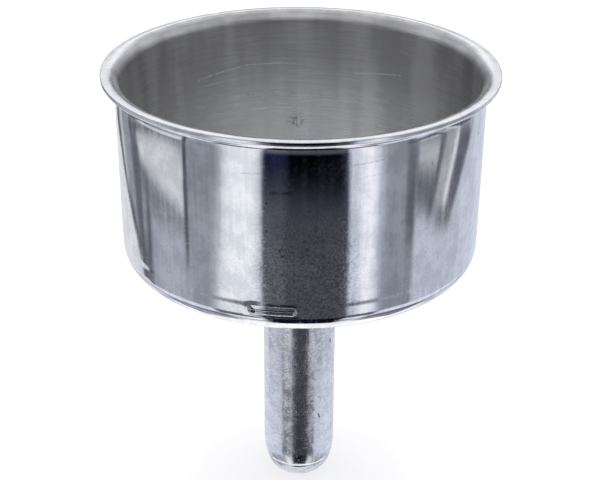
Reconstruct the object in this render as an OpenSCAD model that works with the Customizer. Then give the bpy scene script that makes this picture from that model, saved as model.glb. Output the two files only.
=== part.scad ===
// Basket funnel of drawn aluminium: a straight cup with a flat lip, a perforated
// strainer plate held down by three stakes, and a swaged-in tube with a rounded nose.
// The origin is on the axis, in the plane of the lip's underside, where the funnel
// rests when it hangs in a round opening. All sizes are in millimetres.

/* [Lip] */
// Outer radius of the lip
lip_r = 35; // [34.9:0.1:36]
// Radius of the bend between lip and wall, on the cup's inside
lip_bend_r = 2.4; // [2:0.1:2.5]
// Radius that breaks the lip's two edges
lip_edge_r = 0.3; // [0.1:0.05:0.4]

/* [Cup] */
// Outer radius of the wall, a true cylinder from the lip down to the step
wall_r = 32.7; // [32.4:0.05:32.7]
// Thickness of the sheet
sheet = 1; // [0.8:0.05:1.1]
// Depth of the cup from the lip's underside to the underside of the floor
cup_depth = 34.1; // [33.5:0.1:38]
// Outer radius of the corner between wall and floor
corner_r = 2; // [1.6:0.1:2.2]
// Height of the small step above the floor's underside
step_up = 5.05; // [4.9:0.05:5.2]
// Radial depth of the small step
step_in = 0.08; // [0.05:0.01:0.15]

/* [Stakes] */
// Number of stakes around the wall
stake_count = 3; // [2:1:4]
// Angle of the first stake, from the +X axis
stake_angle = 262; // [250:1:290]
// Length of a stake around the wall
stake_length = 8.2; // [6:0.1:9]
// Height of a stake
stake_height = 1.6; // [1.4:0.1:1.7]
// Depth that a stake is pressed into the wall
stake_depth = 1.2; // [1:0.1:1.3]
// Height of a stake's middle above the floor's underside
stake_up = 4; // [3.95:0.05:4.1]

/* [Strainer plate] */
// Outer radius of the plate
plate_r = 30.8; // [30.5:0.1:30.9]
// Play between the plate's top and the stakes
plate_play = 0.05; // [0.02:0.01:0.1]
// Thickness of the plate
plate_sheet = 0.6; // [0.5:0.05:0.7]
// Radius of the plate's upper outer corner
plate_corner_r = 0.8; // [0.7:0.05:1]
// Number of rings of holes around the middle hole
hole_rings = 7; // [3:1:7]
// Distance from one ring of holes to the next
hole_pitch = 3.7; // [3.2:0.1:3.9]
// Diameter of one hole
hole_d = 1.7; // [1.4:0.1:2]

/* [Stem] */
// Outer radius of the stem
stem_r = 6.95; // [6.5:0.05:7.5]
// Thickness of the stem's tube
stem_sheet = 0.9; // [0.8:0.05:1]
// Depth of the nose's end below the lip's underside
nose_depth = 84.3; // [80:0.5:95]
// Height of the rounded nose
nose_height = 6.7; // [5:0.1:8]
// Radius of the outlet at the nose's end
outlet_r = 3.5; // [3:0.1:4.5]
// Radius of the flare that holds the stem above the floor
flare_r = 8.8; // [8.5:0.1:9.5]
// Thickness of the flare
flare_sheet = 0.5; // [0.4:0.05:0.6]
// Radius of the bead that holds the stem below the floor
bead_r = 8.2; // [8:0.1:8.5]
// Height of the bead
bead_height = 1.6; // [1.2:0.1:2]
// Gap between the stem and the edge of the floor's hole
floor_hole_gap = 0.05; // [0.02:0.01:0.1]

/* [Hidden] */
$fn = 96;
arc_steps = 12;
sheet_metal = [0.80, 0.81, 0.84];
plate_metal = [0.72, 0.73, 0.75];
stem_metal = [0.74, 0.76, 0.80];

floor_z = -cup_depth;
floor_top_z = floor_z + sheet;
step_z = floor_z + step_up;
stake_z = floor_z + stake_up;
low_wall_r = wall_r - step_in;
stake_step = 360 / stake_count;
stake_ramp = 0.35;
plate_top_z = stake_z - stake_height / 2 - stake_ramp - plate_play;
hole_field_r = (hole_rings + 0.4) * hole_pitch;
stem_bore_r = stem_r - stem_sheet;
nose_end_z = -nose_depth;
nose_z = nose_end_z + nose_height;
cut_margin = 1;

// Points of an elliptical arc from angle a to angle b about the centre c
function arc(c, rx, ry, a, b) =
    [for (i = [0:arc_steps])
        let (t = a + (b - a) * i / arc_steps) [c[0] + rx * cos(t), c[1] + ry * sin(t)]];

// Outline of the sheet on its outside (t = 0) or its inside (t = sheet), from floor to lip
function cup_line(t) = concat(
    arc([low_wall_r - corner_r, floor_z + corner_r], corner_r - t, corner_r - t, 270, 360),
    [[low_wall_r - t, step_z - step_in],
     [wall_r - t, step_z + step_in]],
    arc([wall_r - sheet + lip_bend_r, sheet - lip_bend_r],
        lip_bend_r - sheet + t, lip_bend_r - sheet + t, 180, 90));

// The lip's outer edge, rounded above and below
lip_edge = concat(
    arc([lip_r - lip_edge_r, lip_edge_r], lip_edge_r, lip_edge_r, 270, 360),
    arc([lip_r - lip_edge_r, sheet - lip_edge_r], lip_edge_r, lip_edge_r, 0, 90));

function reversed(list) = [for (i = [len(list) - 1:-1:0]) list[i]];

// The cup as one sheet, before the stakes are pressed in
module cup_sheet() {
    hole_r = stem_r + floor_hole_gap;
    rotate_extrude()
        polygon(concat(
            [[hole_r, floor_top_z], [hole_r, floor_z]],
            cup_line(0),
            lip_edge,
            reversed(cup_line(sheet))));
}

// The outline of a stake: a rectangle with round ends
module pill_outline(height) {
    between = stake_length - stake_height;
    square([height, between], center = true);
    for (side = [-1, 1])
        translate([0, side * between / 2])
            circle(r = height / 2);
}

// A stake's block, from radius r_in to radius r_out, square to the wall
module pill(r_in, r_out, height) {
    intersection() {
        translate([0, 0, stake_z - height])
            difference() {
                cylinder(h = 2 * height, r = r_out);
                cylinder(h = 2 * height, r = r_in);
            }
        translate([r_in / 2, 0, stake_z])
            rotate([0, 90, 0])
                linear_extrude(height = r_out)
                    pill_outline(height);
    }
}

// Repeats its children at each stake
module at_stakes() {
    for (i = [0:stake_count - 1])
        rotate([0, 0, stake_angle + i * stake_step])
            children();
}

module bowl() {
    boss_r = low_wall_r - sheet - stake_depth;
    color(sheet_metal)
        difference() {
            union() {
                cup_sheet();
                at_stakes()
                    pill(boss_r, low_wall_r - sheet / 2, stake_height + 2 * stake_ramp);
            }
            at_stakes()
                pill(low_wall_r - stake_depth, low_wall_r + cut_margin, stake_height);
        }
}

// The plate's outer ring with its turned-down rim, as one sheet
module plate_rim() {
    inner_corner_r = plate_corner_r - plate_sheet;
    foot_r = plate_sheet / 2;
    centre = [plate_r - plate_corner_r, plate_top_z - plate_corner_r];
    rotate_extrude()
        polygon(concat(
            [[hole_field_r, plate_top_z]],
            arc(centre, plate_corner_r, plate_corner_r, 90, 0),
            arc([plate_r - foot_r, floor_top_z + foot_r], foot_r, foot_r, 0, -180),
            arc(centre, inner_corner_r, inner_corner_r, 0, 90),
            [[hole_field_r, plate_top_z - plate_sheet]]));
}

// Places of the strainer holes: one in the middle, then six more in each ring
hole_places = concat(
    [[0, 0]],
    [for (ring = [1:hole_rings], i = [0:6 * ring - 1])
        let (a = 60 * i / ring) ring * hole_pitch * [cos(a), sin(a)]]);

module strainer_plate() {
    color(plate_metal) {
        plate_rim();
        translate([0, 0, plate_top_z - plate_sheet])
            linear_extrude(height = plate_sheet)
                difference() {
                    circle(r = hole_field_r);
                    for (place = hole_places)
                        translate(place)
                            circle(r = hole_d / 2);
                }
    }
}

module stem() {
    bead_z = floor_z - bead_height / 2;
    color(stem_metal)
        rotate_extrude()
            polygon(concat(
                arc([outlet_r, nose_z], stem_r - outlet_r, nose_height, -90, 0),
                arc([stem_r, bead_z], bead_r - stem_r, bead_height / 2, -90, 90),
                [[stem_r, floor_top_z],
                 [flare_r, floor_top_z],
                 [flare_r, floor_top_z + flare_sheet],
                 [stem_bore_r + flare_sheet, floor_top_z + flare_sheet],
                 [stem_bore_r, floor_top_z]],
                arc([outlet_r, nose_z], stem_bore_r - outlet_r, nose_height - stem_sheet, 0, -90)));
}

bowl();
strainer_plate();
stem();
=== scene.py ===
"""An aluminium basket funnel: a drawn cup with a flat lip, a strainer plate and a narrow stem."""
from collections import namedtuple
import math

import bmesh
import bpy
from mathutils import Matrix, Vector, geometry, noise


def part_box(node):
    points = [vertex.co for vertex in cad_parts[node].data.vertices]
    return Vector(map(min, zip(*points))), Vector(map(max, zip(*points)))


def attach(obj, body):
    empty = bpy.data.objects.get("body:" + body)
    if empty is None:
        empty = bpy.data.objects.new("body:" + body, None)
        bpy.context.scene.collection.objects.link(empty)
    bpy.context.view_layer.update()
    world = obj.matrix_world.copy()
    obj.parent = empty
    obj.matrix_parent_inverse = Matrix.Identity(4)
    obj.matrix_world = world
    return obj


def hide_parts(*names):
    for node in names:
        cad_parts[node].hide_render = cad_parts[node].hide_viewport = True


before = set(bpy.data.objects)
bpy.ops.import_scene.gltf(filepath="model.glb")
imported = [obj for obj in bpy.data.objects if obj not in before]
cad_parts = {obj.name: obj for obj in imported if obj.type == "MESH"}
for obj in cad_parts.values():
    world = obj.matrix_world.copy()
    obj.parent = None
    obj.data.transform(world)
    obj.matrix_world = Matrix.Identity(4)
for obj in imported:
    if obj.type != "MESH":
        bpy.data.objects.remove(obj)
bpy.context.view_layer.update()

MM = 0.001

# ---------------------------------------------------------------- the funnel's sizes, in millimetres
bowl_low, bowl_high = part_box("bowl")
stem_low, stem_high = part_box("stem")
_, plate_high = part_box("strainer_plate")

LIP_R = bowl_high[0] / MM            # outer radius of the lip
LIP_TOP = bowl_high[2] / MM          # the lip's top, which is one sheet above the origin
SHEET = LIP_TOP
FLOOR_Z = bowl_low[2] / MM           # underside of the cup's floor
WALL_R = 32.7                        # outer radius of the wall
BEND_R = 2.4                         # bend between lip and wall, on the inside
CORNER_R = 2.0                       # how far the corner between wall and floor reaches in, outside
CORNER_TALL = 3.0                    # and how far up, because it starts gently in the wall
STEP_Z = FLOOR_Z + 5.05              # the faint step near the bottom of the wall
STEP_IN = 0.02                       # how far the wall below the step stands back
STEP_TALL = 1.3                      # the height over which the step is spread
EDGE_R = 0.14                        # rounding of the lip's upper edge
LOW_EDGE_R = 0.42                    # rounding of the lip's lower edge
WALL_WAVE = 0.03                     # how far the drawn wall strays from a true circle
LIP_DIP = 0.04                       # how far the lip's top strays downwards
STEM_GAP = 0.05                      # between the stem and the floor's hole

STAKE_ANGLES = [math.radians(262 + 120 * i) for i in range(3)]
STAKE_REACH = 0.3                    # a stake moves nothing that is further round than this angle
STAKE_Z = FLOOR_Z + 4.0
STAKE_HALF_LENGTH = 4.1
STAKE_HALF_HEIGHT = 0.8              # of the dent outside
BUMP_DEPTH = 1.2                     # of the bump inside
BUMP_RAMP = 0.6                      # the width of the bump's sloping side
BUMP_SPREAD = 0.35                   # the bump is wider than the dent by this
DENT_DEPTH = 0.85                    # the dent is shallower than the bump, for its edges are round
DENT_RAMP = 0.28                     # the width of the dent's sloping side
SHOULDER = 1.1                       # the sheet dips a little this far round a stake
SHOULDER_DEPTH = 0.04

PLATE_R = plate_high[0] / MM
PLATE_TOP = plate_high[2] / MM
PLATE_SHEET = 0.6
PLATE_CORNER_R = 0.8                 # where the plate turns down into its rim
HOLE_RINGS = 7
HOLE_PITCH = 3.7
HOLE_R = 0.85
HOLE_EDGE = 0.1                      # rounding of the holes' upper edges

STEM_R = 6.95
STEM_SHEET = 0.9
NOSE_END = stem_low[2] / MM
NOSE_TALL = 6.7
OUTLET_R = 3.5
OUTLET_EDGE = 0.25                   # rounding of the outlet's edge
FLARE_R = stem_high[0] / MM          # the stem's flare lies on the floor, inside the cup
FLARE_SHEET = 0.5
BEAD_R = 8.2                         # the stem's bead bears on the floor from below
BEAD_TALL = 1.6
STEM_WAVE = 0.05                     # how far the stem strays inwards from a true circle

CORNER_LINE_Z = -32.0                # a painted dark reflection line on the cup, where the floor's corner starts
STAIN_Z = -21.8                      # the stain inside the cup, at the back
SPECKLE_LOW, SPECKLE_FULL = -31.7, -31.2
RING_Z = -68.5                       # a faint ring round the stem, below which it is smoother
FOLD_Z = -80.7                       # the fold where the nose starts to turn in


# ---------------------------------------------------------------- outlines and meshes
def arc(centre, radius_x, radius_z, start, end, steps):
    """Points on an ellipse's arc, with angles in degrees."""
    points = []
    for i in range(steps + 1):
        t = math.radians(start + (end - start) * i / steps)
        points.append((centre[0] + radius_x * math.cos(t), centre[1] + radius_z * math.sin(t)))
    return points


def line(start, end, steps):
    """Points on a straight line, both ends included."""
    return [(start[0] + (end[0] - start[0]) * i / steps, start[1] + (end[1] - start[1]) * i / steps)
            for i in range(steps + 1)]


def joined(*runs):
    """One list of points from several runs, without the points that two runs share."""
    points = []
    for run in runs:
        for p in run:
            if not points or math.dist(points[-1], p) > 1e-4:
                points.append(p)
    return points


def smooth(low, high, value):
    """0 below low, 1 above high, and a smooth curve between."""
    t = min(max((value - low) / (high - low), 0.0), 1.0)
    return t * t * (3 - 2 * t)


def add_piece(name, mesh):
    """A smooth-shaded object in the scene."""
    mesh.shade_smooth()
    piece = bpy.data.objects.new(name, mesh)
    bpy.context.scene.collection.objects.link(piece)
    return piece


def revolve(name, outline, angles, place):
    """A mesh that carries a closed outline of (r, z) points round the axis; place moves each point."""
    rows, columns = len(outline), len(angles)
    vertices = []
    for angle in angles:
        for i, (r, z) in enumerate(outline):
            x, y, z = place(r, z, angle, i)
            vertices.append((x * MM, y * MM, z * MM))
    faces = []
    for j in range(columns):
        k = (j + 1) % columns
        for i in range(rows):
            n = (i + 1) % rows
            faces.append((j * rows + i, j * rows + n, k * rows + n, k * rows + i))
    mesh = bpy.data.meshes.new(name)
    mesh.from_pydata(vertices, [], faces)
    mesh.validate()
    turn_outward(mesh)
    return add_piece(name, mesh)


def turn_outward(mesh):
    """Makes every face look out of the metal."""
    bm = bmesh.new()
    bm.from_mesh(mesh)
    bmesh.ops.recalc_face_normals(bm, faces=bm.faces)
    bm.to_mesh(mesh)
    bm.free()


def waviness(angle, turns, height):
    """Smooth noise from -1 to 1 that closes up round the axis."""
    return noise.noise(Vector((turns * math.cos(angle), turns * math.sin(angle), height)))


def polar(r, z, angle):
    """The place at a radius, a height and an angle."""
    return r * math.cos(angle), r * math.sin(angle), z


# ---------------------------------------------------------------- the cup
def step_back(z):
    """How far the wall stands back at height z because of the faint step."""
    return STEP_IN * (1 - smooth(STEP_Z - STEP_TALL / 2, STEP_Z + STEP_TALL / 2, z))


def stake_push(r, z, angle, half_height, ramp, depth):
    """How far a stake presses the sheet inwards at a point of the wall."""
    deepest = 0.0
    for stake in STAKE_ANGLES:
        off = (angle - stake + math.pi) % (2 * math.pi) - math.pi
        if abs(off) > STAKE_REACH:
            continue
        along = max(abs(off * r) - (STAKE_HALF_LENGTH - half_height), 0.0)
        distance = math.hypot(along, z - STAKE_Z)
        dip = SHOULDER_DEPTH * (1 - smooth(half_height - ramp, half_height + SHOULDER, distance))
        deepest = max(deepest, dip + depth * (1 - smooth(half_height - ramp, half_height, distance)))
    return deepest


def cup_outline():
    """The cup's closed outline, and the numbers of its points before the lip and before the lip's top.

    The last number of each run is its count of steps. They are short where the stakes are.
    """
    hole_r = STEM_R + STEM_GAP
    low_r = WALL_R - STEP_IN
    top = LIP_TOP
    stake_low, stake_high = STAKE_Z - 1.5, STAKE_Z + 1.5
    corner_top = FLOOR_Z + CORNER_TALL
    lip_inner = WALL_R - SHEET + BEND_R
    outside = joined(
        line((hole_r, FLOOR_Z), (low_r - CORNER_R, FLOOR_Z), 16),
        arc((low_r - CORNER_R, corner_top), CORNER_R, CORNER_TALL, 270, 360, 24),
        line((low_r, corner_top), (low_r, stake_high), 50),
        line((low_r, stake_high), (WALL_R, STEP_Z + 1.2), 6),
        line((WALL_R, STEP_Z + 1.2), (WALL_R, top - BEND_R), 30))
    lip_below = joined(
        arc((lip_inner, top - BEND_R), BEND_R - SHEET, BEND_R - SHEET, 180, 90, 8),
        line((lip_inner, 0), (LIP_R - LOW_EDGE_R, 0), 3),
        arc((LIP_R - LOW_EDGE_R, LOW_EDGE_R), LOW_EDGE_R, LOW_EDGE_R, 270, 360, 8))
    lip_above = joined(
        arc((LIP_R - EDGE_R, top - EDGE_R), EDGE_R, EDGE_R, 0, 90, 6),
        line((LIP_R - EDGE_R, top), (lip_inner, top), 5),
        arc((lip_inner, top - BEND_R), BEND_R, BEND_R, 90, 180, 14))
    inner_low_r = low_r - SHEET
    inner_corner = CORNER_R - SHEET
    inside = joined(
        line((WALL_R - SHEET, top - BEND_R), (WALL_R - SHEET, STEP_Z + 0.7), 26),
        line((WALL_R - SHEET, STEP_Z + 0.7), (inner_low_r, stake_high), 6),
        line((inner_low_r, stake_high), (inner_low_r, stake_low), 30),
        line((inner_low_r, stake_low), (inner_low_r, corner_top), 3),
        arc((inner_low_r - inner_corner, corner_top), inner_corner, inner_corner, 360, 270, 8),
        line((inner_low_r - inner_corner, FLOOR_Z + SHEET), (hole_r, FLOOR_Z + SHEET), 14))
    points = joined(outside, lip_below, lip_above, inside)
    return points, len(outside), len(joined(outside, lip_below))


def cup_angles():
    """Angles round the cup, close together at the stakes' round ends.

    Each mark is an angle from a stake's middle and the step that follows it, in degrees.
    """
    marks = [(-9.0, 0.35), (-7.5, 0.08), (-5.6, 0.62), (5.6, 0.08), (7.5, 0.35), (9.0, 2.1), (111.0, 0.0)]
    angles = []
    for stake in STAKE_ANGLES:
        for (start, apart), (end, _) in zip(marks, marks[1:]):
            steps = round((end - start) / apart)
            angles += [stake + math.radians(start + (end - start) * k / steps) for k in range(steps)]
    return angles


def make_bowl():
    """The cup, with its step, its stakes and the slight waves of drawn sheet."""
    outline, lip_from, top_from = cup_outline()

    def place(r, z, angle, i):
        wall_r = WALL_R if i < lip_from else WALL_R - SHEET
        on_wall = abs(r - wall_r) < SHEET / 2 and FLOOR_Z + CORNER_TALL < z < LIP_TOP - BEND_R + 0.01
        if on_wall:
            r = wall_r - step_back(z)
            if i < lip_from:
                r -= stake_push(r, z, angle, STAKE_HALF_HEIGHT, DENT_RAMP, DENT_DEPTH)
            else:
                r -= stake_push(r, z, angle, STAKE_HALF_HEIGHT + BUMP_SPREAD, BUMP_RAMP, BUMP_DEPTH)
        if z < 0.5:
            amount = smooth(FLOOR_Z + 3, FLOOR_Z + 12, z) * (1 - smooth(-6, 0.5, z))
            r += WALL_WAVE * amount * waviness(angle, 2.2, z * 0.03)
        if r > WALL_R + 1 and z > 0.3:
            z -= LIP_DIP * (0.5 + 0.5 * waviness(angle, 3, 5))
        return polar(r, z, angle)

    bowl = revolve("bowl_sheet", outline, cup_angles(), place)
    mark_surfaces(bowl.data, len(outline), lip_from, top_from)
    return bowl


def mark_surfaces(mesh, rows, lip_from, top_from):
    """Two attributes for the material: "lip" is 1 on the lip and "inner" is 1 inside the cup."""
    inner = mesh.attributes.new("inner", "FLOAT", "POINT")
    lip = mesh.attributes.new("lip", "FLOAT", "POINT")
    for v in mesh.vertices:
        i = v.index % rows
        if i < top_from:
            on_lip = smooth(-1.2, 0.6, v.co.z / MM) * (i >= lip_from)
            within = 0.0
        else:
            on_lip = smooth(WALL_R - 0.2, WALL_R + 0.9, math.hypot(v.co.x, v.co.y) / MM)
            within = 1.0 - on_lip
        lip.data[v.index].value = on_lip
        inner.data[v.index].value = within


# ---------------------------------------------------------------- the strainer plate
def hole_places():
    """Centres of the holes: one in the middle and rings of six, twelve and so on."""
    places = [(0.0, 0.0)]
    for ring in range(1, HOLE_RINGS + 1):
        for i in range(6 * ring):
            a = math.radians(60 * i / ring)
            places.append((ring * HOLE_PITCH * math.cos(a), ring * HOLE_PITCH * math.sin(a)))
    return places


def circle(bm, centre, r, z, sides):
    """A loop of new corners round a centre, in millimetres."""
    turns = [2 * math.pi * i / sides for i in range(sides)]
    return [bm.verts.new(((centre[0] + r * math.cos(t)) * MM, (centre[1] + r * math.sin(t)) * MM, z * MM))
            for t in turns]


def skin(bm, loops):
    """Faces between each loop and the next."""
    for a, b in zip(loops, loops[1:]):
        for i in range(len(a)):
            n = (i + 1) % len(a)
            bm.faces.new((a[i], a[n], b[n], b[i]))


def fill_between(bm, loops, field_r):
    """Flat faces that fill the first loop and leave the others, the holes, open."""
    corners = [v for loop in loops for v in loop]
    flat = [Vector((v.co.x / MM, v.co.y / MM)) for v in corners]
    edges, start = [], 0
    for loop in loops:
        edges += [(start + i, start + (i + 1) % len(loop)) for i in range(len(loop))]
        start += len(loop)
    places, _, faces, sources, _, _ = geometry.delaunay_2d_cdt(flat, edges, [], 0, 1e-5)
    holes = hole_places()
    for face in faces:
        middle = sum((places[i] for i in face), Vector((0, 0))) / len(face)
        if any(math.dist(middle, hole) < HOLE_R + HOLE_EDGE / 2 for hole in holes):
            continue
        chosen = [corners[sources[i][0]] for i in face]
        if len(set(chosen)) == len(chosen) and middle.length < field_r:
            bm.faces.new(chosen)


def make_plate():
    """The perforated disc: a plate with round-edged holes, and its turned-down rim."""
    floor_top = FLOOR_Z + SHEET
    field_r = (HOLE_RINGS + 0.4) * HOLE_PITCH
    top, under = PLATE_TOP, PLATE_TOP - PLATE_SHEET
    turn_r = PLATE_R - PLATE_CORNER_R
    inner_turn = PLATE_CORNER_R - PLATE_SHEET
    foot = PLATE_SHEET / 2
    rim = joined(
        line((field_r, top), (turn_r, top), 3),
        arc((turn_r, top - PLATE_CORNER_R), PLATE_CORNER_R, PLATE_CORNER_R, 90, 0, 8),
        arc((PLATE_R - foot, floor_top + foot), foot, foot, 0, -180, 8),
        arc((turn_r, top - PLATE_CORNER_R), inner_turn, inner_turn, 0, 90, 4),
        line((turn_r, under), (field_r, under), 3))
    hole_side = [
        (HOLE_R + HOLE_EDGE, top), (HOLE_R + 0.3 * HOLE_EDGE, top - 0.3 * HOLE_EDGE),
        (HOLE_R, top - HOLE_EDGE), (HOLE_R, under + HOLE_EDGE / 2), (HOLE_R + HOLE_EDGE / 2, under)]

    bm = bmesh.new()
    rim_loops = [circle(bm, (0, 0), r, z, 240) for r, z in rim]
    skin(bm, rim_loops)
    tops, unders = [rim_loops[0]], [rim_loops[-1]]
    for centre in hole_places():
        loops = [circle(bm, centre, r, z, 18) for r, z in hole_side]
        skin(bm, loops)
        tops.append(loops[0])
        unders.append(loops[-1])
    fill_between(bm, tops, field_r)
    fill_between(bm, unders, field_r)
    bmesh.ops.recalc_face_normals(bm, faces=bm.faces)
    mesh = bpy.data.meshes.new("strainer_disc")
    bm.to_mesh(mesh)
    bm.free()
    return add_piece("strainer_disc", mesh)


# ---------------------------------------------------------------- the stem
def make_stem():
    """The tube with its turned-in nose, the bead below the floor and the flare above it."""
    floor_top = FLOOR_Z + SHEET
    nose_z = NOSE_END + NOSE_TALL
    bore_r = STEM_R - STEM_SHEET
    bead_z = FLOOR_Z - BEAD_TALL / 2
    soft = FLARE_SHEET / 2
    edge = OUTLET_EDGE
    outside = joined(
        arc((OUTLET_R + edge, nose_z), STEM_R - OUTLET_R - edge, NOSE_TALL, -90, 0, 34),
        line((STEM_R, nose_z), (STEM_R, bead_z - BEAD_TALL / 2 - 0.3), 90))
    outline = joined(
        outside,
        arc((STEM_R, bead_z), BEAD_R - STEM_R, BEAD_TALL / 2, -90, 90, 14),
        line((STEM_R, FLOOR_Z), (STEM_R, floor_top), 3),
        line((STEM_R, floor_top), (FLARE_R - soft, floor_top), 4),
        arc((FLARE_R - soft, floor_top + soft), soft, soft, -90, 90, 8),
        line((FLARE_R - soft, floor_top + FLARE_SHEET), (bore_r + FLARE_SHEET, floor_top + FLARE_SHEET), 4),
        arc((bore_r + FLARE_SHEET, floor_top), FLARE_SHEET, FLARE_SHEET, 90, 180, 6),
        line((bore_r, floor_top), (bore_r, nose_z), 40),
        arc((OUTLET_R, nose_z), bore_r - OUTLET_R, NOSE_TALL - STEM_SHEET, 0, -90, 16),
        line((OUTLET_R, NOSE_END + STEM_SHEET), (OUTLET_R, NOSE_END + edge), 3),
        arc((OUTLET_R + edge, NOSE_END + edge), edge, edge, 180, 270, 5))
    angles = [2 * math.pi * i / 180 for i in range(180)]

    def place(r, z, angle, i):
        if i < len(outside) and r > STEM_R - 3 and z < FLOOR_Z - 2:
            r -= STEM_WAVE * (0.5 + 0.5 * waviness(angle, 1.6, z * 0.06))
        return polar(r, z, angle)

    return revolve("stem_tube", outline, angles, place)


# ---------------------------------------------------------------- materials
class Nodes:
    """Short names for the nodes that the materials and the world are made from."""

    def __init__(self, tree):
        self.tree = tree
        tree.nodes.clear()

    def add(self, kind, **settings):
        node = self.tree.nodes.new(kind)
        for name, value in settings.items():
            setattr(node, name, value)
        return node

    def link(self, source, target):
        self.tree.links.new(source, target)

    def put(self, socket, value):
        if isinstance(value, bpy.types.NodeSocket):
            self.link(value, socket)
        else:
            socket.default_value = value

    def math(self, operation, a, b=None, clamp=False):
        node = self.add("ShaderNodeMath", operation=operation, use_clamp=clamp)
        self.put(node.inputs[0], a)
        if b is not None:
            self.put(node.inputs[1], b)
        return node.outputs[0]

    def remap(self, value, low, high, to_low=0.0, to_high=1.0, kind="SMOOTHSTEP"):
        node = self.add("ShaderNodeMapRange", interpolation_type=kind)
        for socket, v in zip(node.inputs, (value, low, high, to_low, to_high)):
            self.put(socket, v)
        return node.outputs[0]

    def mix(self, factor, a, b, blend="MIX"):
        node = self.add("ShaderNodeMix", data_type="RGBA", blend_type=blend)
        self.put(node.inputs[0], factor)
        self.put(node.inputs[6], a)
        self.put(node.inputs[7], b)
        return node.outputs[2]

    def vector(self, x, y, z):
        node = self.add("ShaderNodeCombineXYZ")
        for socket, v in zip(node.inputs, (x, y, z)):
            self.put(socket, v)
        return node.outputs[0]

    def split(self, vector):
        node = self.add("ShaderNodeSeparateXYZ")
        self.link(vector, node.inputs[0])
        return node.outputs

    def length(self, vector):
        node = self.add("ShaderNodeVectorMath", operation="LENGTH")
        self.link(vector, node.inputs[0])
        return node.outputs["Value"]

    def scaled(self, vector, across, along):
        """The place with its own scale along the axis, so that a noise there is drawn out."""
        node = self.add("ShaderNodeMapping")
        self.link(vector, node.inputs["Vector"])
        node.inputs["Scale"].default_value = (across, across, along)
        return node.outputs[0]

    def noise(self, where, scale, detail=2.0, roughness=0.5):
        node = self.add("ShaderNodeTexNoise")
        self.put(node.inputs["Vector"], where)
        node.inputs["Scale"].default_value = scale
        node.inputs["Detail"].default_value = detail
        node.inputs["Roughness"].default_value = roughness
        return node.outputs["Fac"]

    def cells(self, where, scale):
        node = self.add("ShaderNodeTexVoronoi", feature="F1")
        self.put(node.inputs["Vector"], where)
        node.inputs["Scale"].default_value = scale
        return node.outputs["Distance"]

    def bump(self, height, strength, distance, below=None):
        node = self.add("ShaderNodeBump")
        self.put(node.inputs["Height"], height)
        node.inputs["Strength"].default_value = strength
        node.inputs["Distance"].default_value = distance
        if below is not None:
            self.link(below, node.inputs["Normal"])
        return node.outputs[0]


def scratch(n, along, up, start, end, width):
    """1 on a straight scratch between two places (along, up) in millimetres, fading over its width."""
    (a, b), (c, d) = start, end
    run, rise = c - a, d - b
    x, y = n.math("SUBTRACT", along, a), n.math("SUBTRACT", up, b)
    done = n.math("ADD", n.math("MULTIPLY", x, run), n.math("MULTIPLY", y, rise))
    done = n.math("DIVIDE", done, run * run + rise * rise, clamp=True)
    x = n.math("SUBTRACT", x, n.math("MULTIPLY", done, run))
    y = n.math("SUBTRACT", y, n.math("MULTIPLY", done, rise))
    distance = n.math("SQRT", n.math("ADD", n.math("MULTIPLY", x, x), n.math("MULTIPLY", y, y)))
    return n.remap(distance, width, width * 0.3)


def scratches(n, angle, up, radius, marks):
    """The strongest of several scratches; each runs from (degrees, mm) to (degrees, mm)."""
    along = n.math("MULTIPLY", angle, radius)
    total = 0.0
    for (a, b), (c, d), width, strength in marks:
        start, end = (math.radians(a) * radius, b), (math.radians(c) * radius, d)
        mark = n.math("MULTIPLY", scratch(n, along, up, start, end, width), strength)
        total = n.math("MAXIMUM", total, mark)
    return total


def turned_place(n):
    """The place on a turned surface, its angles from the front and the back, and its height in mm."""
    place = n.add("ShaderNodeTexCoord").outputs["Object"]
    x, y, z = n.split(place)
    from_front = n.math("ARCTAN2", x, n.math("MULTIPLY", y, -1.0))
    from_back = n.math("ARCTAN2", n.math("MULTIPLY", x, -1.0), y)
    return place, from_front, from_back, n.math("MULTIPLY", z, 1 / MM)


def new_metal(name):
    """A metallic material, its nodes and its shader."""
    material = bpy.data.materials.new(name)
    material.use_nodes = True
    n = Nodes(material.node_tree)
    shader = n.add("ShaderNodeBsdfPrincipled")
    shader.inputs["Metallic"].default_value = 1.0
    out = n.add("ShaderNodeOutputMaterial")
    n.link(shader.outputs[0], out.inputs["Surface"])
    return material, n, shader


# Scratches seen on the cup: from (degrees, mm) to (degrees, mm), then the width in mm and the strength.
# Degrees count from the front outside and from the back inside, and the heights from the origin.
OUTSIDE_MARKS = [
    ((-6.0, -18.5), (-5.2, -19.7), 0.15, 0.75),
    ((-5.2, -19.7), (-3.2, -20.2), 0.17, 0.80),
    ((-3.2, -20.2), (-0.9, -19.8), 0.13, 0.60),
    ((-5.2, -18.4), (-5.1, -18.5), 0.22, 0.70),
    ((-8.1, -8.7), (-2.5, -8.5), 0.42, 0.55),
    ((-9.3, -10.4), (-9.3, -10.6), 0.28, 0.75),
    ((-9.4, -15.3), (-9.4, -15.5), 0.28, 0.75),
    ((-17.5, -5.8), (-10.6, -5.4), 0.20, 0.22),
    ((-12.2, -22.6), (-10.7, -21.9), 0.16, 0.40),
    ((14.2, -4.2), (23.6, -3.9), 0.22, 0.30),
    ((16.0, -6.6), (22.5, -6.2), 0.30, 0.14),
    ((66.4, -6.2), (66.8, -6.4), 0.40, 0.70),
    ((40.5, -6.6), (40.9, -7.2), 0.30, 0.35),
]
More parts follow.
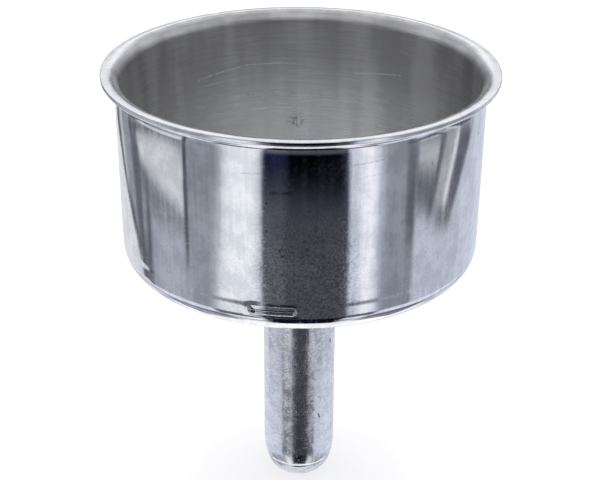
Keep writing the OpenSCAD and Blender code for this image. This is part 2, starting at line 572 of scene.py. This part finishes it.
INSIDE_MARKS = [
    ((39.5, -10.9), (20.0, -9.5), 0.20, 1.0),
    ((20.0, -9.5), (2.0, -9.7), 0.16, 0.9),
    ((-20.0, -11.1), (-38.0, -9.8), 0.22, 0.9),
    ((36.5, -12.4), (24.0, -12.1), 0.18, 0.7),
    ((34.0, -18.8), (3.0, -19.2), 0.18, 0.8),
    ((28.0, -16.0), (8.0, -15.6), 0.14, 0.5),
    ((-4.0, -17.4), (-24.0, -17.0), 0.14, 0.5),
]


def outside_colour(n, angle, up, mottle, streaks, broken, outer):
    """Rubbed aluminium with dark scratches, and a painted dark reflection line where the floor's corner
    starts.
    """
    rubbed = n.math("ADD", n.math("MULTIPLY", mottle, 0.68), n.math("MULTIPLY", streaks, 0.32))
    tone = n.mix(n.remap(rubbed, 0.42, 0.58), (0.78, 0.795, 0.83, 1), (0.95, 0.96, 0.99, 1))
    marks = n.math("MULTIPLY", scratches(n, angle, up, WALL_R, OUTSIDE_MARKS), broken)
    # Painted reflection: the dark line at the corner's start is painted into the colour, not a mark in the
    # metal.
    from_corner = n.math("ABSOLUTE", n.math("SUBTRACT", up, CORNER_LINE_Z))
    painted_corner_line = n.math("MULTIPLY", n.remap(from_corner, 0.22, 0.04), 0.55)
    marks = n.math("MULTIPLY", n.math("MAXIMUM", marks, painted_corner_line), outer)
    return n.mix(marks, tone, (0.08, 0.08, 0.11, 1))


def inside_colour(n, angle, up, worn, deep, grain, broken):
    """Duller metal with pale scratches and one dark stain; painted darker high up as shade, and paler low
    down at the back centre as a painted highlight.
    """
    inner_r = WALL_R - SHEET
    wear = n.remap(worn, 0.40, 0.60)
    # Painted shade and highlight: the upper wall is painted darker and the lower wall paler, most of all at
    # the back centre; wear mottles both.
    shaded_top_tone = n.mix(wear, (0.52, 0.52, 0.54, 1), (0.72, 0.72, 0.73, 1))
    lit_low_tone = n.mix(wear, (0.78, 0.78, 0.79, 1), (1.0, 1.0, 1.0, 1))
    centre_highlight = n.remap(n.math("ABSOLUTE", angle), math.radians(22), math.radians(52), 1.0, 0.45)
    tone = n.mix(n.math("MULTIPLY", deep, centre_highlight), shaded_top_tone, lit_low_tone)
    marks = n.math("MULTIPLY", scratches(n, angle, up, inner_r, INSIDE_MARKS), broken)
    tone = n.mix(n.math("MULTIPLY", marks, 0.9), tone, (1.0, 1.0, 1.0, 1))
    from_stain = n.length(n.vector(n.math("SUBTRACT", n.math("MULTIPLY", angle, inner_r), 1.0),
                                   n.math("SUBTRACT", up, STAIN_Z), 0.0))
    stain = n.math("MULTIPLY", n.remap(from_stain, 2.4, 0.8), n.remap(grain, 0.50, 0.58))
    return n.mix(n.math("MULTIPLY", stain, 0.75), tone, (0.22, 0.21, 0.19, 1))


def bowl_metal():
    """Polished outside, brushed inside and scuffed on the lip."""
    material, n, shader = new_metal("drawn_aluminium")
    place, from_front, from_back, up = turned_place(n)
    inner = n.add("ShaderNodeAttribute", attribute_name="inner").outputs["Fac"]
    lip = n.add("ShaderNodeAttribute", attribute_name="lip").outputs["Fac"]
    outer = n.math("SUBTRACT", 1.0, inner)

    # A drawn streak is long up the wall, and a brushed line is long round it
    streaks = n.noise(n.scaled(place, 1000, 60), 1.3, 3.0, 0.6)
    ring_place = n.scaled(place, 60, 1000)
    rings = n.noise(ring_place, 2.2, 3.0, 0.6)
    fine_rings = n.noise(ring_place, 7.5, 2.0, 0.6)
    blotches = n.noise(n.scaled(place, 150, 22), 1.0, 2.0, 0.5)
    mottle = n.noise(place, 260.0, 4.0, 0.65)
    specks = n.noise(place, 2600.0, 2.0, 0.6)
    grain = n.noise(place, 1700.0, 3.0, 0.6)
    broken = n.remap(grain, 0.36, 0.56)
    worn = n.math("ADD", n.math("MULTIPLY", rings, 0.25), n.math("MULTIPLY", blotches, 0.75))
    # deep is 1 on the lower wall: it places the painted highlight inside, and the smoother brushing there.
    deep = n.remap(up, -6, -20)

    tone = n.mix(inner, outside_colour(n, from_front, up, mottle, streaks, broken, outer),
                 inside_colour(n, from_back, up, worn, deep, grain, broken))
    lip_tone = n.mix(n.remap(mottle, 0.38, 0.62), (0.80, 0.81, 0.85, 1), (0.99, 0.99, 1.0, 1))
    tone = n.mix(lip, tone, lip_tone)

    # The lower front of the wall is finely pitted and speckled
    from_patch = n.math("ABSOLUTE", n.math("ADD", from_front, math.radians(-2)))
    patch = n.math("MULTIPLY", n.remap(up, -8, -22, 0.25, 1.0),
                   n.remap(from_patch, math.radians(18), math.radians(9), 0.2))
    speckle = n.math("MULTIPLY", n.math("MULTIPLY", n.remap(specks, 0.44, 0.60), patch), outer)
    speckle = n.math("MULTIPLY", speckle, n.remap(up, SPECKLE_LOW, SPECKLE_FULL, 0.0, 0.42))
    n.link(n.mix(speckle, tone, (0.10, 0.10, 0.13, 1)), shader.inputs["Base Color"])

    polished = n.math("ADD", n.remap(streaks, 0.3, 0.75, 0.05, 0.085),
                      n.math("MULTIPLY", n.remap(grain, 0.50, 0.66, 0.0, 0.16), patch))
    brushed = n.math("SUBTRACT", n.remap(worn, 0.35, 0.65, 0.38, 0.44), n.math("MULTIPLY", deep, 0.15))
    scuffed = n.remap(mottle, 0.3, 0.7, 0.12, 0.22)
    rough = n.math("ADD", polished, n.math("MULTIPLY", inner, n.math("SUBTRACT", brushed, polished)))
    rough = n.math("ADD", rough, n.math("MULTIPLY", lip, n.math("SUBTRACT", scuffed, rough)))
    n.link(rough, shader.inputs["Roughness"])

    lines = n.math("ADD", n.math("MULTIPLY", n.math("MULTIPLY", outer, streaks), 0.35),
                   n.math("MULTIPLY", inner, rings))
    normal = n.bump(n.math("MULTIPLY", lines, n.math("SUBTRACT", 1.0, lip)), 0.15, 0.00003)
    normal = n.bump(n.math("MULTIPLY", inner, fine_rings), 0.9, 0.00005, normal)
    normal = n.bump(n.math("MULTIPLY", specks, patch), 0.08, 0.00002, normal)
    normal = n.bump(n.math("MULTIPLY", mottle, lip), 0.12, 0.00006, normal)
    n.link(normal, shader.inputs["Normal"])
    return material


def plate_metal():
    """Plain punched sheet, a little uneven."""
    material, n, shader = new_metal("punched_aluminium")
    place = n.add("ShaderNodeTexCoord").outputs["Object"]
    mottle = n.noise(place, 240.0, 4.0, 0.6)
    grain = n.noise(place, 1500.0, 3.0, 0.6)
    tone = n.mix(n.remap(mottle, 0.35, 0.65), (0.80, 0.81, 0.82, 1), (0.95, 0.955, 0.965, 1))
    n.link(tone, shader.inputs["Base Color"])
    n.link(n.remap(mottle, 0.3, 0.7, 0.42, 0.58), shader.inputs["Roughness"])
    n.link(n.bump(grain, 0.25, 0.00003), shader.inputs["Normal"])
    return material


STEM_MARKS = [
    ((58.0, -52.8), (59.0, -53.5), 0.34, 0.85),
    ((33.0, -68.7), (35.5, -69.6), 0.26, 0.85),
    ((-26.0, -60.5), (-24.0, -61.5), 0.22, 0.40),
]


def stem_metal():
    """Dull, mottled tube, with a fold round its nose and a faint ring at mid-height; its nose is painted
    darker as shade.
    """
    material, n, shader = new_metal("dull_aluminium")
    place, angle, _, up = turned_place(n)
    mottle = n.noise(place, 330.0, 5.0, 0.65)
    grain = n.noise(place, 1500.0, 4.0, 0.7)
    pits = n.cells(place, 900.0)
    streaks = n.noise(n.scaled(place, 1000, 90), 1.1, 3.0, 0.6)

    drawn = n.remap(up, -67.6, -69.2)
    blend = n.math("ADD", n.math("MULTIPLY", mottle, 0.5), n.math("MULTIPLY", grain, 0.5))
    tone = n.mix(n.remap(blend, 0.44, 0.56), (0.70, 0.72, 0.77, 1), (1.0, 1.0, 1.0, 1))
    marks = n.math("MULTIPLY", scratches(n, angle, up, STEM_R, STEM_MARKS), n.remap(grain, 0.35, 0.5))
    tone = n.mix(marks, tone, (0.10, 0.10, 0.11, 1))
    # Painted shade: below the fold the nose is painted darker.
    tone = n.mix(n.remap(up, -80.4, -81.6), tone, (0.66, 0.69, 0.76, 1), "MULTIPLY")
    n.link(tone, shader.inputs["Base Color"])
    rough = n.remap(mottle, 0.3, 0.7, 0.14, 0.27)
    rough = n.math("ADD", rough, n.remap(grain, 0.5, 0.68, 0.0, 0.14))
    n.link(rough, shader.inputs["Roughness"])

    fold = n.remap(n.math("ABSOLUTE", n.math("SUBTRACT", up, FOLD_Z)), 0.45, 0.0)
    ring = n.remap(n.math("ABSOLUTE", n.math("SUBTRACT", up, RING_Z)), 0.30, 0.0)
    smoother = n.math("SUBTRACT", 1.0, n.math("MULTIPLY", drawn, 0.5))
    normal = n.bump(n.math("MULTIPLY", streaks, smoother), 0.25, 0.00004)
    normal = n.bump(n.math("MULTIPLY", mottle, smoother), 0.25, 0.00008, normal)
    normal = n.bump(n.math("MULTIPLY", n.remap(pits, 0.05, 0.28), smoother), 0.35, 0.00003, normal)
    rims = n.math("ADD", n.math("MULTIPLY", fold, -1.0), n.math("MULTIPLY", ring, 0.12))
    normal = n.bump(rims, 0.8, 0.00008, normal)
    n.link(normal, shader.inputs["Normal"])
    return material


# ---------------------------------------------------------------- the studio
WHITE = (1.0, 1.0, 1.02)
PALE = (0.98, 0.995, 1.035)
COOL = (0.93, 0.98, 1.12)
NAVY = (0.52, 0.70, 2.0)
UPPER, LOWER = -21.5, -29.5    # elevations between which a card's side edges lean

Card = namedtuple("Card", "level up down low high tilt tint edge soft")


def card(level, up, down=None, low=-62, high=30, tilt=0.0, tint=COOL, edge=2.0, soft=1.0):
    """One card. Its side edges are at the azimuths "up" above UPPER and "down" below LOWER.

    Low and high are elevations and tilt slants them. Edge and soft are half the widths of the soft
    side edges and of the soft low and high edges. All but level, tint and tilt are in degrees.
    """
    return Card(level, up, down or up, low, high, tilt, tint, edge, soft)


# Azimuth 0 is the front and + is the right. Later cards cover earlier ones.
CARDS = [
    # a pale ring all round, below the horizon
    card(0.55, (-190, 190), low=-50, high=-14, edge=5, soft=3),
    # left side
    card(0.78, (-190, -145), (-190, -108), low=-44, tint=PALE, high=-12, edge=3),
    card(0.32, (-155, -126), (-113, -104), high=-14, edge=1.2),
    card(0.13, (-155.5, -150), (-113.5, -108), high=-15, edge=1.6),
    card(0.55, (-147, -142), (-122, -120), high=-20, low=-24.4, tint=PALE, edge=1.0),
    card(0.14, (-129, -104), (-119, -103), low=-28.6, high=-21.8, edge=2.5),
    card(0.30, (-118, -112), (-115, -111), low=-27.2, high=-24.2, edge=1.5),
    card(0.40, (-107, -72), high=-14, edge=2.5),
    card(0.24, (-108, -76), low=-26.4, high=-23.5, tilt=-0.055, edge=2, soft=0.8),
    card(0.68, (-122, -76), (-96, -76), tint=PALE, low=-24.4, high=-22.0, tilt=-0.066, edge=2, soft=0.4),
    card(0.44, (-101, -77), low=-35, high=-26.6, edge=3, soft=1.2),
    card(0.05, (-130, -74), low=-22.4, high=-21.9, tilt=-0.018, edge=2, soft=0.25),
    card(0.34, (-73, -47), (-73, -52), high=-10, edge=1.5),
    card(0.27, (-73, -50), low=-25.6, high=-22.6, edge=3, soft=1.4),
    card(0.07, (-76.2, -73.2), low=-28.0, high=-22.4, edge=1.0, soft=0.8),
    card(0.91, (-45, -16), (-52, -16), high=20, tint=PALE, edge=9),
    # right side
    card(0.62, (107, 190), (107, 190), low=-44, high=-12, edge=3),
    card(0.26, (66, 112), (68, 104), high=-14, edge=2),
    card(0.50, (76.5, 94), low=-23.7, high=-22.6, tint=PALE, edge=1.2, soft=0.3),
    card(0.15, (75, 96), low=-25.4, high=-23.8, edge=1.5, soft=0.3),
    card(0.57, (75, 128), (75, 116), low=-36, high=-25.9, edge=2, soft=0.5),
    card(0.13, (116, 131), (76, 88), low=-26.4, high=-21.6, edge=1.5, soft=0.5),
    card(0.12, (98, 102), (74, 77), low=-26.0, high=-21.8, edge=1.0, soft=0.5),
    card(0.42, (103, 113), (77, 85), low=-25.4, high=-22.0, tint=PALE, edge=0.8, soft=0.3),
    card(0.80, (112, 115.5), (84, 87), low=-25.4, high=-22.0, tint=PALE, edge=0.6, soft=0.3),
    card(0.76, (152, 190), (138, 190), high=-14, edge=20),
    card(0.66, (26, 51), high=20, edge=3),
    card(0.92, (37, 47), high=20, tint=PALE, edge=4),
    card(0.52, (49, 56), high=20, edge=4),
    card(0.29, (52, 70), high=-10, edge=4),
    card(0.13, (68, 74.5), low=-27, high=-22.6, edge=2, soft=1.5),
    # below the strips, seen in the stem and in the band under the step
    card(0.80, (-130, -56), low=-44, high=-32.5, edge=3),
    card(0.15, (-58, -20), low=-42, high=-31.7, edge=3, soft=0.8),
    card(0.80, (48, 130), low=-44, high=-32.5, edge=3),
    card(0.13, (27, 52), low=-42, high=-31.7, edge=3, soft=0.8),
    # the front, with the camera and its dark surroundings
    card(0.58, (-26, -17), high=20, edge=3.5),
    card(0.24, (-60, 60), low=-10, high=34, tint=WHITE, edge=14, soft=6),
    card(0.95, (-34, 34), low=38, high=72, tint=WHITE, edge=12, soft=6),
    card(0.085, (-22.5, 30), low=-44, high=17, edge=1.8),
    card(0.13, (-22.5, -9), low=-44, high=-22, edge=3),
    card(0.018, (-22.5, 28), low=-25.6, high=17, tint=NAVY, edge=1.8, soft=2.4),
    card(0.0, (-8, 26), low=-25.0, high=12, tint=NAVY, edge=4, soft=1.2),
    card(0.008, (-23.5, 30), low=-62, high=-36.5, tint=NAVY, edge=3, soft=0.8),
]


def card_mask(n, azimuth, elevation, lean, card):
    """1 on a card, fading over its soft edges."""
    left, right = (below if below == above else n.remap(lean, 0, 1, below, above, "LINEAR")
                   for below, above in zip(card.down, card.up))
    past_left = n.math("DIVIDE", n.math("SUBTRACT", azimuth, left), card.edge)
    before_right = n.math("DIVIDE", n.math("SUBTRACT", right, azimuth), card.edge)
    mask = n.math("MULTIPLY", n.remap(past_left, -1, 1), n.remap(before_right, -1, 1))
    height = elevation
    if card.tilt:
        from_middle = n.math("SUBTRACT", azimuth, (card.up[0] + card.up[1]) / 2)
        height = n.math("SUBTRACT", elevation, n.math("MULTIPLY", from_middle, card.tilt))
    mask = n.math("MULTIPLY", mask, n.remap(height, card.low - card.soft, card.low + card.soft))
    return n.math("MULTIPLY", mask, n.remap(height, card.high + card.soft, card.high - card.soft))


def make_world():
    """A studio of cards, seen in the metal only; the camera sees plain white."""
    world = bpy.data.worlds.new("studio")
    bpy.context.scene.world = world
    world.use_nodes = True
    n = Nodes(world.node_tree)
    x, y, z = n.split(n.add("ShaderNodeTexCoord").outputs["Generated"])
    degrees = 180 / math.pi
    azimuth = n.math("MULTIPLY", n.math("ARCTAN2", x, n.math("MULTIPLY", y, -1.0)), degrees)
    elevation = n.math("MULTIPLY", n.math("ARCSINE", z), degrees)
    lean = n.remap(elevation, LOWER, UPPER, kind="LINEAR")

    # The room: dim round the horizon, a bright band above it, grey overhead and white underneath
    colour = n.mix(n.remap(elevation, 12.5, 22.5), (0.22, 0.22, 0.23, 1), (1.08, 1.09, 1.13, 1))
    colour = n.mix(n.remap(elevation, 25, 34), colour, (0.58, 0.58, 0.59, 1))
    colour = n.mix(n.remap(elevation, -38, -44), colour, (1.05, 1.05, 1.05, 1))
    for one in CARDS:
        paint = tuple(one.level * c for c in one.tint) + (1,)
        colour = n.mix(card_mask(n, azimuth, elevation, lean, one), colour, paint)
    seen = n.add("ShaderNodeLightPath").outputs["Is Camera Ray"]
    colour = n.mix(seen, colour, (1, 1, 1, 1))
    back = n.add("ShaderNodeBackground")
    n.link(colour, back.inputs["Color"])
    out = n.add("ShaderNodeOutputWorld")
    n.link(back.outputs[0], out.inputs["Surface"])


def make_floor():
    """A pale floor that the stem's nose touches; it glows a little and the metal doesn't see it."""
    mesh = bpy.data.meshes.new("floor")
    half, z = 5.0, NOSE_END * MM
    corners = [(-half, -half, z), (half, -half, z), (half, half, z), (-half, half, z)]
    mesh.from_pydata(corners, [], [(0, 1, 2, 3)])
    floor = bpy.data.objects.new("floor", mesh)
    bpy.context.scene.collection.objects.link(floor)
    material = bpy.data.materials.new("pale_floor")
    material.use_nodes = True
    n = Nodes(material.node_tree)
    shader = n.add("ShaderNodeBsdfPrincipled")
    shader.inputs["Base Color"].default_value = (0.36, 0.36, 0.37, 1)
    shader.inputs["Roughness"].default_value = 1.0
    shader.inputs["Specular IOR Level"].default_value = 0.0
    shader.inputs["Emission Color"].default_value = (1, 1, 1, 1)
    shader.inputs["Emission Strength"].default_value = 0.74
    out = n.add("ShaderNodeOutputMaterial")
    n.link(shader.outputs[0], out.inputs["Surface"])
    mesh.materials.append(material)
    floor.visible_glossy = False


def make_lamp():
    """A soft round lamp overhead."""
    lamp = bpy.data.lights.new("overhead", "AREA")
    lamp.shape = "DISK"
    lamp.size = 1.2
    lamp.energy = 14.0
    holder = bpy.data.objects.new("overhead", lamp)
    holder.location = (0.0, 0.25, 1.3)
    holder.rotation_euler = (math.radians(-8), 0, 0)
    holder.visible_glossy = False
    bpy.context.scene.collection.objects.link(holder)


def make_camera():
    """The camera looks down at the funnel from the front, close to it, as in the photograph."""
    distance = 0.2275                       # from the lip's centre
    height_angle = math.radians(19.36)      # above the lip's plane
    pitch = math.radians(27.10)
    roll = math.radians(0.329)
    camera = bpy.data.cameras.new("camera")
    camera.sensor_width = 36.0
    camera.lens = 77.15
    camera.clip_start, camera.clip_end = 0.01, 50.0
    holder = bpy.data.objects.new("camera", camera)
    bpy.context.scene.collection.objects.link(holder)
    target = Vector((0, 0, LIP_TOP * MM))
    holder.location = target + distance * Vector((0, -math.cos(height_angle), math.sin(height_angle)))
    turn = Matrix.Rotation(math.pi / 2 - pitch, 4, "X") @ Matrix.Rotation(roll, 4, "Z")
    holder.rotation_euler = turn.to_euler()
    bpy.context.scene.camera = holder


make_camera()
make_world()
make_floor()
make_lamp()
bpy.context.scene.view_settings.view_transform = "Standard"

for piece, node, metal in (
        (make_bowl(), "bowl", bowl_metal()),
        (make_plate(), "strainer_plate", plate_metal()),
        (make_stem(), "stem", stem_metal())):
    piece.data.materials.append(metal)
    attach(piece, "root")
    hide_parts(node)
